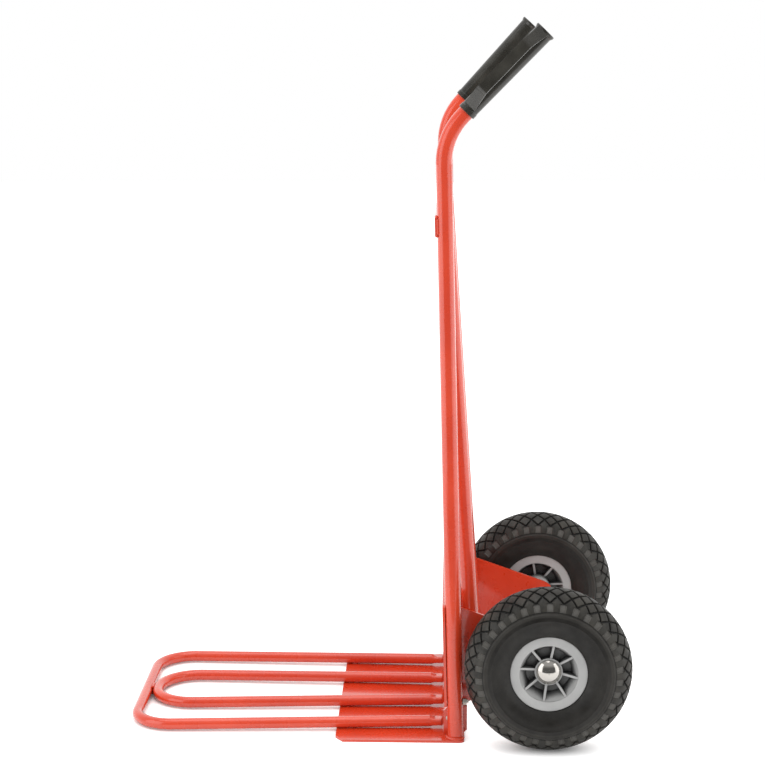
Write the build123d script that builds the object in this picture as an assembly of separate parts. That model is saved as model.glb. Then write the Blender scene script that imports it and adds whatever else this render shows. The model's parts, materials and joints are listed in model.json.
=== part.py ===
from build123d import *
import os
from functools import cache
from math import asin, atan2, cos, hypot, radians, sin, sqrt, tan

# Steel-tube sack truck with pneumatic wheels and a fold-down wire toe extension.
# Millimetres. Origin: middle of the toe plate's underside, on the floor.
# +X is the truck's left side, +Y its rear, where the wheels and the user are, +Z is up.

# Clearances
WELD_GAP = 0.05  # between pieces that are welded or pressed together
RUN_GAP = 0.3  # end play of turning pieces

# Side tubes, bent at the top into the handles
TUBE_OD = 25.0
TUBE_WALL = 2.0
TUBE_SPACING = 388.0  # between the two axes
LEAN = 1.32  # degrees that the frame leans to the front
BEND_HEIGHT = 948.3  # where the straight runs would meet
BEND_RADIUS = 100.0
LEFT_TILT = 44.3  # degrees from vertical, to the rear; the pair is not bent quite alike
RIGHT_TILT = 42.3
HANDLE_BARE = 6.5  # straight tube between the bend and the grip

# Toe plate
TOE_DEPTH = 204.0
TOE_THICK = 4.0
TOE_OVERHANG = 15.0  # beyond the tubes' axes on each side
TOE_REAR_LAND = 1.3  # behind the tubes
TOE_CUT_X = 18.0  # cut front corners, across and along
TOE_CUT_Y = 12.0
TOE_REAR_RADIUS = 8.0

# Grips with a knuckle guard on the outer side
GRIP_LENGTH = 167.0
GRIP_WALL = 1.3  # at the open end
GRIP_GAIN = 0.9  # radius gained towards the closed end
GRIP_END_WALL = 4.0
GRIP_COLLAR_RISE = 0.8
GRIP_COLLAR_LENGTH = 7.0
GRIP_LIP_RISE = 1.8
GRIP_LIP_LENGTH = 3.0
GRIP_LIP_ROUND = 1.2
GUARD_FOOT = 4.0  # above the collar
GUARD_GAP = 19.0  # room for fingers between the grip and its guard
GUARD_THICK = 3.2
GUARD_WIDTH = 17.3
GUARD_END_WIDTH = 21.0
GUARD_RISE = 30.0  # length of each sloping end, along the grip
LEFT_GUARD_TURN = 13.5  # degrees to the front; each grip is pushed on by hand
RIGHT_GUARD_TURN = 3.0

# Cross members on the fronts of the tubes
CROSSBAR_HEIGHT = 25.0
CROSSBAR_THICK = 3.0
CROSSBAR_OVERHANG = 7.0  # beyond the tubes' axes on each side
CROSSBAR_CENTRE_Z = 813.5
BACK_PLATE_OVERHANG = 6.0
BACK_PLATE_BOTTOM = 55.0
BACK_PLATE_TOP = 221.0
BACK_PLATE_THICK = 4.0
BACK_PLATE_RADIUS = 6.0

# Screws that clamp the back plate to the tubes
SCREW_OD = 6.0
SCREW_CLEAR = 0.3
SCREW_EDGE = 8.0  # above the back plate's lower edge
SCREW_HEAD_OD = 11.5
SCREW_TAIL = 3.0
NUT_FLATS = 10.0
NUT_THICK = 6.0

# Gussets that carry the axle
GUSSET_INSET = 37.0  # inside the tubes' axes
GUSSET_THICK = 4.0
GUSSET_TOP_DROP = 6.0  # below the back plate's upper edge
GUSSET_LOW_DROP = 8.0  # below its lower edge
GUSSET_HEEL_DROP = 3.0  # further down at the heel
GUSSET_HEEL_BACK = 17.0
GUSSET_END_RADIUS = 27.0

# Rear stays between the top crossbar and the gussets
STAY_OD = 25.0
STAY_WALL = 2.0
STAY_FOOT_Z = 64.0
STAY_FOOT_BACK = 31.0  # behind the side tubes' feet
PLUG_HEAD = 3.0
PLUG_DEPTH = 12.0

# Axle and hubs
AXLE_OD = 20.0
AXLE_FIT = 0.05
BUSH_WALL = 3.93
BUSH_FIT = 0.02
BUSH_LENGTH = 14.0
BOSS_WALL = 7.6
BOSS_OUT = 16.0  # wheel's mid-plane to the boss's ends
BOSS_IN = 38.0
WASHER_RIM = 7.0  # beyond the axle's surface
WASHER_THICK = 1.5
SPACER_WALL = 2.95
SPACER_LENGTH = 26.8
CAP_RIM = 9.0  # beyond the axle's surface
CAP_EDGE = 2.0
CAP_HEIGHT = 10.0
CAP_SKIN = 1.2
AXLE_IN_CAP = 5.0

# Rim in two moulded halves, each with spokes in a deep dish
RIM_SEAT_RADIUS = 50.8
RIM_FLANGE_HEIGHT = 9.3
RIM_FLANGE_THICK = 4.0
RIM_FACE = 28.0  # mid-plane to the rim's face
RIM_WALL = 3.5
RIM_LEDGE = 2.3  # seat's underside to the face's inner edge
RIM_EDGE = 1.2
DISH_SLOPE = 10.0  # radius lost between the face and the dish's floor
WEB_THICK = 2.5  # each half's floor, at the mid-plane
SPOKES = 8
SPOKE_THICK = 3.6
SPOKE_ROOT = 1.2  # how far a spoke runs into the boss and the wall
SPOKE_TURN = 35.7  # degrees from +Y

# Tyre and inner tube
WHEEL_OD = 260.0
WHEEL_GAP = 3.2  # tyre to the side tubes
TYRE_WALL = 6.0
TYRE_LAP = 2.5  # sidewall beyond the rim's face, at the bead
TYRE_CLEAR = 0.1
TREAD_BLOCKS = 34  # diamonds round the tyre
TREAD_EDGE = 52.0  # degrees from the crown to the ends of the grooves
GROOVE_TURN = 45.0  # degrees from the axle, crossing both ways
GROOVE_WIDTH = 2.4
GROOVE_DEPTH = 2.5
CROSS_STEP = 0.2  # how much shallower the crossing grooves are
NOTCH_START = 49.0  # degrees from the crown, where the grooves run into the shoulder notches
NOTCH_END = 69.0
NOTCH_WIDTH = 9.6
NOTCH_DEPTH = 1.8
AIR_SKIN = 2.0
AIR_CLEAR = 0.35
VALVE_RADIUS = 4.0
VALVE_CLEAR = 0.4
VALVE_X = 12.4  # where the stem crosses the rim's seat, from the mid-plane
VALVE_TILT = 40.0  # degrees from radial
VALVE_LENGTH = 31.0
VALVE_TURN = 202.5  # degrees on from a spoke, half-way between two

# Folding wire loops on the toe plate
WIRE_OD = 18.0
WIRE_WALL = 2.0
REST_GAP = 0.33  # loops above the toe plate's front edge
LOOP_TILT = 0.516  # degrees, nose down at rest
LOOP_FRONT = 428.3  # front bar's axis ahead of the toe plate's middle
LOOP_TAPER = 0.037  # outward spread of the arms, per length
OUTER_INSET = 43.6  # outer arms inside the tubes' axes, at the rear
INNER_HALF = 52.1
OUTER_CORNER = 60.0
INNER_CORNER = 64.0
TONGUE_THICK = 11.0
TONGUE_WIDTH = 20.0
TONGUE_ROUND = 4.0
TONGUE_LENGTH = 9.0
TONGUE_TAPER = 9.0

# Hinge of the loops
HINGE_OD = 8.0
HINGE_FIT = 0.05
HINGE_SET_BACK = 6.1  # hinge axis behind the back plate's front face
FOLD_CLEAR = 0.9  # folded loops to the back plate
KNUCKLE_WALL = 3.95
KNUCKLE_WIDTH = 16.0
KNUCKLE_REACH = 11.57  # knuckle's front face ahead of the hinge axis
KNUCKLE_FOOT = 1.0  # flat part of the knuckle behind its front face
SLEEVE_WALL = 2.95
LUG_THICK = 5.0
LUG_FRONT = 7.5  # hinge axis to the lug's front edge
LUG_DEPTH = 37.0
LUG_DROP = 4.0  # below the back plate's lower edge
LUG_CUT = 8.0

# Values worked out from those above
LEAN_TAN = tan(radians(LEAN))
LEAN_COS = cos(radians(LEAN))
TUBE_X = TUBE_SPACING / 2
TUBE_R = TUBE_OD / 2
FOOT_Y = TOE_DEPTH / 2 - TOE_REAR_LAND - TUBE_R
PLATE_OFFSET = TUBE_R + WELD_GAP  # tube axis to the back faces of the cross members
SCREW_HOLE = SCREW_OD + 2 * SCREW_CLEAR
SCREW_HEIGHT = BACK_PLATE_BOTTOM + SCREW_EDGE
GUSSET_X = TUBE_X - GUSSET_INSET
AXLE_R = AXLE_OD / 2
BUSH_RADIUS = AXLE_R + AXLE_FIT + BUSH_WALL + BUSH_FIT
BOSS_RADIUS = BUSH_RADIUS + BOSS_WALL
WHEEL_X = GUSSET_X + GUSSET_THICK / 2 + SPACER_LENGTH + WASHER_THICK + RUN_GAP + BOSS_IN
RIM_FLANGE_RADIUS = RIM_SEAT_RADIUS + RIM_FLANGE_HEIGHT
RIM_RING_RADIUS = RIM_SEAT_RADIUS - RIM_WALL - RIM_LEDGE
DISH_RADIUS = RIM_RING_RADIUS - DISH_SLOPE
TYRE_LIP = RIM_FLANGE_RADIUS + TYRE_CLEAR
TYRE_HALF_BEAD = RIM_FACE + TYRE_LAP
TYRE_HEIGHT = WHEEL_OD / 2 - TYRE_LIP
TYRE_BULGE = (TYRE_HEIGHT ** 2 + TYRE_HALF_BEAD ** 2) / (2 * TYRE_HEIGHT)  # arc from bead to bead
TYRE_CENTRE = WHEEL_OD / 2 - TYRE_BULGE
WIRE_R = WIRE_OD / 2
OUTER_HALF = TUBE_X - OUTER_INSET
LOOP_TAN = tan(radians(LOOP_TILT))
PITCH_ARM_Z = TOE_THICK + REST_GAP + WIRE_R / cos(radians(LOOP_TILT))  # arm axis over the front edge
KNUCKLE_RADIUS = HINGE_OD / 2 + HINGE_FIT + KNUCKLE_WALL


def tube_y(z):
    return FOOT_Y - (z - TOE_THICK) * LEAN_TAN


def plate_y(z, offset):
    # where a plane parallel to the tubes, this far in front of them, meets height z
    return tube_y(z) - offset / LEAN_COS


def arm_z(y):
    # height of the loops' axis plane
    return PITCH_ARM_Z + (y + TOE_DEPTH / 2) * LOOP_TAN


AXLE_Z = WHEEL_OD / 2
AXLE_Y = tube_y(AXLE_Z) + TUBE_R / LEAN_COS + WHEEL_GAP + WHEEL_OD / 2
HINGE_Y = plate_y(BACK_PLATE_BOTTOM, PLATE_OFFSET + BACK_PLATE_THICK) + HINGE_SET_BACK
HINGE_Z = arm_z(HINGE_Y) + HINGE_SET_BACK + WIRE_R + FOLD_CLEAR
KNUCKLE_FRONT = HINGE_Y - KNUCKLE_REACH


def lean_frame(z):
    # X across, Y up along the tubes, Z to the front
    origin = (0, tube_y(z), z)
    normal = (0, -LEAN_COS, -sin(radians(LEAN)))
    return Plane(origin=origin, x_dir=(1, 0, 0), z_dir=normal).location


def ring(outer, inner, start, length):
    # a sleeve about the X axis
    face = Circle(outer) - Circle(inner)
    return Pos(start, 0, 0) * Rot(0, 90, 0) * extrude(face, length)


def rod(radius, start, length):
    return Pos(start, 0, 0) * Rot(0, 90, 0) * extrude(Circle(radius), length)


def hollow_sweep(path, outer, wall):
    start = Plane(origin=path @ 0, z_dir=path % 0)
    return sweep(start * (Circle(outer) - Circle(outer - wall)), path=path)


def tangent_point(px, py, cx, cy, radius, side):
    # touch point of the line from a point to a circle, side +1 above and -1 below
    reach = hypot(cx - px, cy - py)
    turn = asin(radius / reach)
    angle = atan2(cy - py, cx - px) + side * turn
    length = reach * cos(turn)
    return (px + length * cos(angle), py + length * sin(angle))


def screw_axis(side):
    return Pos(side * TUBE_X, 0, 0) * lean_frame(SCREW_HEIGHT)


def toe_plate():
    x = TUBE_X + TOE_OVERHANG
    y = TOE_DEPTH / 2
    outline = Polyline(
        (-x, y), (-x, -y + TOE_CUT_Y), (-x + TOE_CUT_X, -y),
        (x - TOE_CUT_X, -y), (x, -y + TOE_CUT_Y), (x, y), close=True,
    )
    face = make_face(outline)
    face = fillet(face.vertices().group_by(Axis.Y)[-1], TOE_REAR_RADIUS)
    return extrude(face, TOE_THICK)


def handle_tilt(side):
    return radians(LEFT_TILT if side > 0 else RIGHT_TILT)


def handle_direction(side):
    return Vector(0, sin(handle_tilt(side)), cos(handle_tilt(side)))


def handle_corner(side):
    return Vector(side * TUBE_X, tube_y(BEND_HEIGHT), BEND_HEIGHT)


def grip_start(side):
    # distance from the corner to the grip's open end
    return BEND_RADIUS * tan((handle_tilt(side) + radians(LEAN)) / 2) + HANDLE_BARE


def side_tube(side):
    below = Vector(side * TUBE_X, tube_y(-TUBE_R), -TUBE_R)
    corner = handle_corner(side)
    end = corner + handle_direction(side) * (grip_start(side) + GRIP_LENGTH - GRIP_END_WALL)
    path = FilletPolyline(below, corner, end, radius=BEND_RADIUS)
    tube = hollow_sweep(path, TUBE_R, TUBE_WALL)
    floor = Pos(side * TUBE_X, FOOT_Y, TOE_THICK) * Box(
        2 * TUBE_OD, 2 * TUBE_OD, 2 * TUBE_OD, align=(Align.CENTER, Align.CENTER, Align.MAX)
    )
    hole = screw_axis(side) * Cylinder(SCREW_HOLE / 2, 2 * TUBE_OD)
    return tube - floor - hole


def grip_sleeve():
    # turned form along Z, the open end at the origin
    bore = TUBE_R + WELD_GAP
    low = bore + GRIP_WALL
    high = low + GRIP_GAIN
    collar = low + GRIP_COLLAR_RISE
    lip = high + GRIP_LIP_RISE
    step = GRIP_LENGTH - GRIP_LIP_LENGTH
    profile = Polyline(
        (bore, 0), (collar, 0), (collar, GRIP_COLLAR_LENGTH),
        (low, GRIP_COLLAR_LENGTH + GRIP_COLLAR_RISE), (high, step - 2 * GRIP_LIP_RISE), (lip, step),
        (lip, GRIP_LENGTH), (0, GRIP_LENGTH),
        (0, GRIP_LENGTH - GRIP_END_WALL), (bore, GRIP_LENGTH - GRIP_END_WALL), close=True,
    )
    sleeve = revolve(Plane.XZ * make_face(profile), axis=Axis.Z)
    return fillet(sleeve.edges().group_by(Axis.Z)[-1], GRIP_LIP_ROUND)


def grip_guard():
    # bowed strip that stands off the grip, from above the collar to the lip
    bore = TUBE_R + WELD_GAP
    low = GRIP_COLLAR_LENGTH + GUARD_FOOT
    high = GRIP_LENGTH - GRIP_LIP_LENGTH / 2
    crest = bore + GRIP_WALL + GUARD_GAP + GUARD_THICK / 2
    spine = FilletPolyline(
        (bore, low), (crest, low + GUARD_RISE), (crest, high - GUARD_RISE), (bore, high),
        radius=GUARD_RISE / 2,
    )
    bow = extrude(Plane.XZ * trace(spine, GUARD_THICK), GUARD_END_WIDTH, both=True)
    half = GUARD_WIDTH / 2
    wide = GUARD_END_WIDTH / 2
    mid = GRIP_LENGTH / 2
    right = Spline(
        (wide, low - GUARD_THICK), (half, low + GUARD_RISE), (half, mid), (half, high - GUARD_RISE),
        (wide, high + GUARD_THICK),
    )
    left = mirror(right, about=Plane.YZ)
    outline = make_face([right, left, Line(right @ 0, left @ 0), Line(right @ 1, left @ 1)])
    waist = extrude(Plane.YZ * outline, 2 * crest)
    slab = Pos(0, 0, mid) * Box(4 * crest, 4 * crest, GRIP_LENGTH)
    return (bow & waist & slab) - Cylinder(bore, 3 * GRIP_LENGTH)


def grip(side):
    shape = grip_sleeve() + grip_guard()
    start = handle_corner(side) + handle_direction(side) * grip_start(side)
    frame = Plane(origin=start, x_dir=(1, 0, 0), z_dir=handle_direction(side))
    turn = -LEFT_GUARD_TURN if side > 0 else 180 + RIGHT_GUARD_TURN
    return frame.location * Rot(0, 0, turn) * shape


def top_crossbar():
    length = 2 * (TUBE_X + CROSSBAR_OVERHANG)
    bar = Box(length, CROSSBAR_HEIGHT, CROSSBAR_THICK, align=(Align.CENTER, Align.CENTER, Align.MIN))
    return lean_frame(CROSSBAR_CENTRE_Z) * Pos(0, 0, PLATE_OFFSET) * bar


def back_plate():
    width = 2 * (TUBE_X + BACK_PLATE_OVERHANG)
    height = (BACK_PLATE_TOP - BACK_PLATE_BOTTOM) / LEAN_COS
    middle = (BACK_PLATE_TOP + BACK_PLATE_BOTTOM) / 2
    face = RectangleRounded(width, height, BACK_PLATE_RADIUS)
    plate = lean_frame(middle) * Pos(0, 0, PLATE_OFFSET) * extrude(face, BACK_PLATE_THICK)
    front = PLATE_OFFSET + BACK_PLATE_THICK
    depth = (SCREW_HEAD_OD - SCREW_HOLE) / 2
    for side in (1, -1):
        plate -= screw_axis(side) * Cylinder(SCREW_HOLE / 2, 4 * TUBE_OD)
        sink = Cone(SCREW_HOLE / 2, SCREW_HEAD_OD / 2, depth, align=(Align.CENTER, Align.CENTER, Align.MAX))
        plate -= screw_axis(side) * Pos(0, 0, front) * sink
    return plate


def screws():
    front = PLATE_OFFSET + BACK_PLATE_THICK
    back = TUBE_R + WELD_GAP + NUT_THICK + SCREW_TAIL
    head_radius = SCREW_HEAD_OD / 2 - SCREW_CLEAR
    depth = head_radius - SCREW_OD / 2
    solids = []
    for side in (1, -1):
        head = Cone(SCREW_OD / 2, head_radius, depth, align=(Align.CENTER, Align.CENTER, Align.MAX))
        shank = Cylinder(SCREW_OD / 2, front + back, align=(Align.CENTER, Align.CENTER, Align.MAX))
        solids.append(screw_axis(side) * Pos(0, 0, front) * (head + shank))
    return solids


def nuts():
    base = -(TUBE_R + WELD_GAP)
    solids = []
    for side in (1, -1):
        hexagon = RegularPolygon(NUT_FLATS / 2, 6, major_radius=False)
        body = extrude(hexagon - Circle(SCREW_OD / 2 + WELD_GAP), -NUT_THICK)
        solids.append(screw_axis(side) * Pos(0, 0, base) * body)
    return solids


def gusset(side):
    back = PLATE_OFFSET - WELD_GAP
    top_z = BACK_PLATE_TOP - GUSSET_TOP_DROP
    low_z = BACK_PLATE_BOTTOM - GUSSET_LOW_DROP
    heel_z = low_z - GUSSET_HEEL_DROP
    top = (plate_y(top_z, back), top_z)
    low = (plate_y(low_z, back), low_z)
    heel = (plate_y(heel_z, back) + GUSSET_HEEL_BACK, heel_z)
    upper = tangent_point(*top, AXLE_Y, AXLE_Z, GUSSET_END_RADIUS, 1)
    lower = tangent_point(*heel, AXLE_Y, AXLE_Z, GUSSET_END_RADIUS, -1)
    outline = [
        Polyline(lower, heel, low, top, upper),
        ThreePointArc(upper, (AXLE_Y + GUSSET_END_RADIUS, AXLE_Z), lower),
    ]
    face = make_face(outline) - Pos(AXLE_Y, AXLE_Z) * Circle(AXLE_R + AXLE_FIT)
    return Pos(side * GUSSET_X, 0, 0) * extrude(Plane.YZ * face, GUSSET_THICK / 2, both=True)


def stay_line(side):
    x = side * (GUSSET_X - GUSSET_THICK / 2 - STAY_OD / 2 - WELD_GAP)
    top_z = CROSSBAR_CENTRE_Z + CROSSBAR_HEIGHT / 2
    top_y = plate_y(top_z, PLATE_OFFSET - STAY_OD / 2 - WELD_GAP)
    foot = Vector(x, FOOT_Y + STAY_FOOT_BACK, STAY_FOOT_Z)
    return foot, Vector(x, top_y, top_z)


def stay(side):
    foot, top = stay_line(side)
    return hollow_sweep(Line(foot, top), STAY_OD / 2, STAY_WALL)


def stay_plugs():
    inside = STAY_OD / 2 - STAY_WALL - WELD_GAP
    low = (Align.CENTER, Align.CENTER, Align.MIN)
    high = (Align.CENTER, Align.CENTER, Align.MAX)
    head = fillet(Cylinder(STAY_OD / 2, PLUG_HEAD, align=low).edges().group_by(Axis.Z)[-1], PLUG_HEAD / 2)
    plug = head + Cylinder(inside, PLUG_DEPTH, align=high)
    solids = []
    for side in (1, -1):
        foot, top = stay_line(side)
        axis = top - foot
        solids.append(Plane(origin=top, z_dir=axis).location * plug)
        solids.append(Plane(origin=foot, z_dir=-axis).location * plug)
    return solids


def wheel_place(side):
    turn = Rot(0, 0, 0) if side > 0 else Rot(0, 0, 180)
    return Pos(side * WHEEL_X, AXLE_Y, AXLE_Z) * turn


def half_rim(boss, turn):
    # one moulded half, its floor at the mid-plane and its face towards +X
    run = RIM_FACE - RIM_WALL - WEB_THICK
    slope = DISH_SLOPE / run
    under_seat = RIM_SEAT_RADIUS - RIM_WALL
    back_radius = DISH_RADIUS + RIM_WALL * hypot(slope, 1) - WEB_THICK * slope
    back_x = (under_seat - back_radius) / slope
    flange = RIM_FACE - RIM_FLANGE_THICK
    profile = Polyline(
        (0, BUSH_RADIUS), (boss, BUSH_RADIUS), (boss, BOSS_RADIUS), (WEB_THICK, BOSS_RADIUS),
        (WEB_THICK, DISH_RADIUS), (RIM_FACE - RIM_WALL, RIM_RING_RADIUS), (RIM_FACE, RIM_RING_RADIUS),
        (RIM_FACE, RIM_FLANGE_RADIUS), (flange, RIM_FLANGE_RADIUS), (flange, RIM_SEAT_RADIUS),
        (0, RIM_SEAT_RADIUS), (0, under_seat), (back_x, under_seat), (0, back_radius), close=True,
    )
    body = revolve(make_face(profile), axis=Axis.X)
    circles = body.edges().filter_by(GeomType.CIRCLE)
    body = fillet(circles.filter_by_position(Axis.X, RIM_FACE - RIM_EDGE, RIM_FACE + RIM_EDGE), RIM_EDGE)
    floor = WEB_THICK - SPOKE_ROOT
    rib = Polyline(
        (floor, BOSS_RADIUS - SPOKE_ROOT), (BOSS_OUT - SPOKE_ROOT, BOSS_RADIUS - SPOKE_ROOT),
        (RIM_FACE - RIM_WALL, RIM_RING_RADIUS + SPOKE_ROOT), (floor, DISH_RADIUS + SPOKE_ROOT), close=True,
    )
    spoke = extrude(make_face(rib), SPOKE_THICK / 2, both=True)
    for i in range(SPOKES):
        body += Rot(turn + i * 360 / SPOKES, 0, 0) * spoke
    return body


def valve_stem(radius):
    # from the air through the rim's seat and the inner half's dish, between two spokes
    tilt = radians(VALVE_TILT)
    inside = TYRE_BULGE - TYRE_WALL
    axis = Plane(origin=(-VALVE_X, RIM_SEAT_RADIUS, 0), x_dir=(0, 0, 1), z_dir=(-sin(tilt), -cos(tilt), 0))
    stem = Cylinder(radius, inside + VALVE_LENGTH, align=(Align.CENTER, Align.CENTER, Align.MIN))
    return Rot(SPOKE_TURN + VALVE_TURN, 0, 0) * axis.location * Pos(0, 0, -inside) * stem


def rim_outer(side):
    return wheel_place(side) * half_rim(BOSS_OUT, SPOKE_TURN)


def rim_inner(side):
    body = Rot(0, 0, 180) * half_rim(BOSS_IN, -SPOKE_TURN)
    return wheel_place(side) * (body - valve_stem(VALVE_RADIUS + VALVE_CLEAR))


def tyre_point(radius, angle):
    # (out, up) from the section's centre, in degrees from the crown
    return radius * sin(radians(angle)), TYRE_CENTRE + radius * cos(radians(angle))


def tread_groove(turn, depth):
    # straight across the crown, its floor following the tyre's section
    floor = TYRE_BULGE - depth
    roof = TYRE_BULGE + depth
    outline = [
        ThreePointArc(*[tyre_point(floor, angle) for angle in (-TREAD_EDGE, 0, TREAD_EDGE)]),
        Line(tyre_point(floor, TREAD_EDGE), tyre_point(roof, TREAD_EDGE)),
        ThreePointArc(*[tyre_point(roof, angle) for angle in (TREAD_EDGE, 0, -TREAD_EDGE)]),
        Line(tyre_point(roof, -TREAD_EDGE), tyre_point(floor, -TREAD_EDGE)),
    ]
    ring = revolve(make_face(outline), axis=Axis.X)
    slab = Box(WHEEL_OD, GROOVE_WIDTH, WHEEL_OD / 2, align=(Align.CENTER, Align.CENTER, Align.MIN))
    return Rot(0, 0, turn) * slab & ring


def shoulder_notch(side):
    # between two shoulder blocks, open to the two grooves that end there
    middle = (NOTCH_START + NOTCH_END) / 2
    length = TYRE_BULGE * radians(NOTCH_END - NOTCH_START)
    out, up = tyre_point(TYRE_BULGE, side * middle)
    return Pos(out, 0, up) * Rot(0, side * middle, 0) * Box(length, NOTCH_WIDTH, 2 * NOTCH_DEPTH)


def cut_tread(body):
    step = 360 / TREAD_BLOCKS
    half_step = Rot(step / 2, 0, 0)  # the tyre stands on a block
    cuts = [
        shoulder_notch(1), shoulder_notch(-1),
        half_step * tread_groove(GROOVE_TURN, GROOVE_DEPTH),
        half_step * tread_groove(-GROOVE_TURN, GROOVE_DEPTH - CROSS_STEP),
    ]
    for cut in cuts:
        body -= [Rot(i * step, 0, 0) * cut for i in range(TREAD_BLOCKS)]
    return body


@cache
def tyre_body():
    flange = RIM_FACE - RIM_FLANGE_THICK - TYRE_CLEAR
    seat = RIM_SEAT_RADIUS + TYRE_CLEAR
    cavity = TYRE_BULGE - TYRE_WALL
    toe = flange - TYRE_WALL
    neck = (TYRE_LIP + seat) / 2
    neck_x = sqrt(cavity ** 2 - (TYRE_LIP - TYRE_CENTRE) ** 2)
    bead = [
        (TYRE_HALF_BEAD, TYRE_LIP), (flange, TYRE_LIP), (flange, seat), (toe, seat), (toe, neck),
        (neck_x, TYRE_LIP),
    ]
    outline = [
        ThreePointArc((-TYRE_HALF_BEAD, TYRE_LIP), (0, WHEEL_OD / 2), (TYRE_HALF_BEAD, TYRE_LIP)),
        Polyline(*bead),
        ThreePointArc((neck_x, TYRE_LIP), (0, TYRE_CENTRE + cavity), (-neck_x, TYRE_LIP)),
        Polyline(*[(-x, r) for x, r in bead]),
    ]
    return cut_tread(revolve(make_face(outline), axis=Axis.X))


def tyre(side):
    return wheel_place(side) * tyre_body()


def air_section(radius, floor):
    # round, and flat where it would rest on the rim
    room = Pos(0, floor) * Rectangle(4 * radius, 4 * radius, align=(Align.CENTER, Align.MIN))
    return (Pos(0, TYRE_CENTRE) * Circle(radius)) & room


def inner_tube(side):
    outer = TYRE_BULGE - TYRE_WALL - AIR_CLEAR
    floor = RIM_SEAT_RADIUS + AIR_CLEAR
    air = air_section(outer - AIR_SKIN, floor + AIR_SKIN)
    skin = revolve(air_section(outer, floor) - air, axis=Axis.X)
    stem = valve_stem(VALVE_RADIUS) - revolve(air, axis=Axis.X)
    return wheel_place(side) * (skin + stem)


def wheel_bushes(side):
    outer = BUSH_RADIUS - BUSH_FIT
    inner = AXLE_R + AXLE_FIT
    starts = (BOSS_OUT - BUSH_LENGTH, -BOSS_IN)
    return [wheel_place(side) * ring(outer, inner, start, BUSH_LENGTH) for start in starts]


def cap_base():
    # the hub cap's rim, from the wheel's mid-plane
    return BOSS_OUT + RUN_GAP + WASHER_THICK + WELD_GAP


def axle():
    half = WHEEL_X + cap_base() + AXLE_IN_CAP
    return Pos(0, AXLE_Y, AXLE_Z) * rod(AXLE_R, -half, 2 * half)


def axle_washers():
    washers = []
    for side in (1, -1):
        for start in (BOSS_OUT + RUN_GAP, -BOSS_IN - RUN_GAP - WASHER_THICK):
            washer = ring(AXLE_R + WASHER_RIM, AXLE_R + AXLE_FIT, start, WASHER_THICK)
            washers.append(wheel_place(side) * washer)
    return washers


def axle_spacers():
    inner = AXLE_R + AXLE_FIT
    sleeve = ring(inner + SPACER_WALL, inner, GUSSET_X + GUSSET_THICK / 2, SPACER_LENGTH)
    return [Pos(0, AXLE_Y, AXLE_Z) * Rot(0, 0, turn) * sleeve for turn in (0, 180)]


def hub_cap(side):
    # domed push-on cap: outer shell with a collar that grips the axle's end
    radius = AXLE_R + CAP_RIM
    dome_height = CAP_HEIGHT - CAP_EDGE
    crown = (radius ** 2 + dome_height ** 2) / (2 * dome_height)
    mid_r = radius / 2
    mid_x = CAP_HEIGHT - crown + sqrt(crown ** 2 - mid_r ** 2)
    outline = [
        Polyline((CAP_HEIGHT, 0), (0, 0), (0, radius), (CAP_EDGE, radius)),
        ThreePointArc((CAP_EDGE, radius), (mid_x, mid_r), (CAP_HEIGHT, 0)),
    ]
    dome = revolve(make_face(outline), axis=Axis.X)
    socket = rod(AXLE_R + WELD_GAP, 0, AXLE_IN_CAP)
    groove = ring(radius - CAP_SKIN, AXLE_R + 2 * CAP_SKIN, 0, CAP_EDGE)
    return wheel_place(side) * Pos(cap_base(), 0, 0) * (dome - socket - groove)


def loop_frame():
    # X across, Y to the rear along the loops' own plane, origin over the toe plate's front edge
    tilt = radians(LOOP_TILT)
    origin = (0, -TOE_DEPTH / 2, PITCH_ARM_Z)
    return Plane(origin=origin, x_dir=(1, 0, 0), z_dir=(0, -sin(tilt), cos(tilt))).location


def loop_path(half, front, rear, corner):
    # arms spread towards the front bar
    wide = half + LOOP_TAPER * (KNUCKLE_FRONT + TOE_DEPTH / 2 - front)
    tip = half + LOOP_TAPER * (KNUCKLE_FRONT + TOE_DEPTH / 2 - rear)
    return FilletPolyline((tip, rear), (wide, front), (-wide, front), (-tip, rear), radius=corner)


def tongue(end, away):
    # round arm pressed flat towards the knuckle
    heading = Plane(origin=end, x_dir=Vector(0, 0, 1).cross(away), z_dir=away).location
    flat = RectangleRounded(TONGUE_WIDTH, TONGUE_THICK, TONGUE_ROUND)
    press = loft([Circle(WIRE_R), Pos(0, 0, TONGUE_TAPER) * flat])
    blade = Pos(0, 0, TONGUE_TAPER) * extrude(flat, TONGUE_LENGTH + TONGUE_WIDTH)
    return heading * (press + blade)


def wire_loop(half, front, corner):
    rear = KNUCKLE_FRONT + TOE_DEPTH / 2 - TONGUE_LENGTH - TONGUE_TAPER
    path = loop_path(half, front, rear, corner)
    loop = hollow_sweep(path, WIRE_R, WIRE_WALL)
    for end, away in ((path @ 0, (path % 0) * -1), (path @ 1, path % 1)):
        loop += tongue(end, away)
    loop = loop_frame() * loop
    size = 4 * OUTER_HALF
    behind = Pos(0, KNUCKLE_FRONT, 0) * Box(size, size, size, align=(Align.CENTER, Align.MIN, Align.CENTER))
    return loop - behind


def outer_loop():
    return wire_loop(OUTER_HALF, TOE_DEPTH / 2 - LOOP_FRONT, OUTER_CORNER)


def inner_loop():
    front = TOE_DEPTH / 2 - LOOP_FRONT + WIRE_OD + WELD_GAP
    return wire_loop(INNER_HALF, front, INNER_CORNER)


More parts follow.
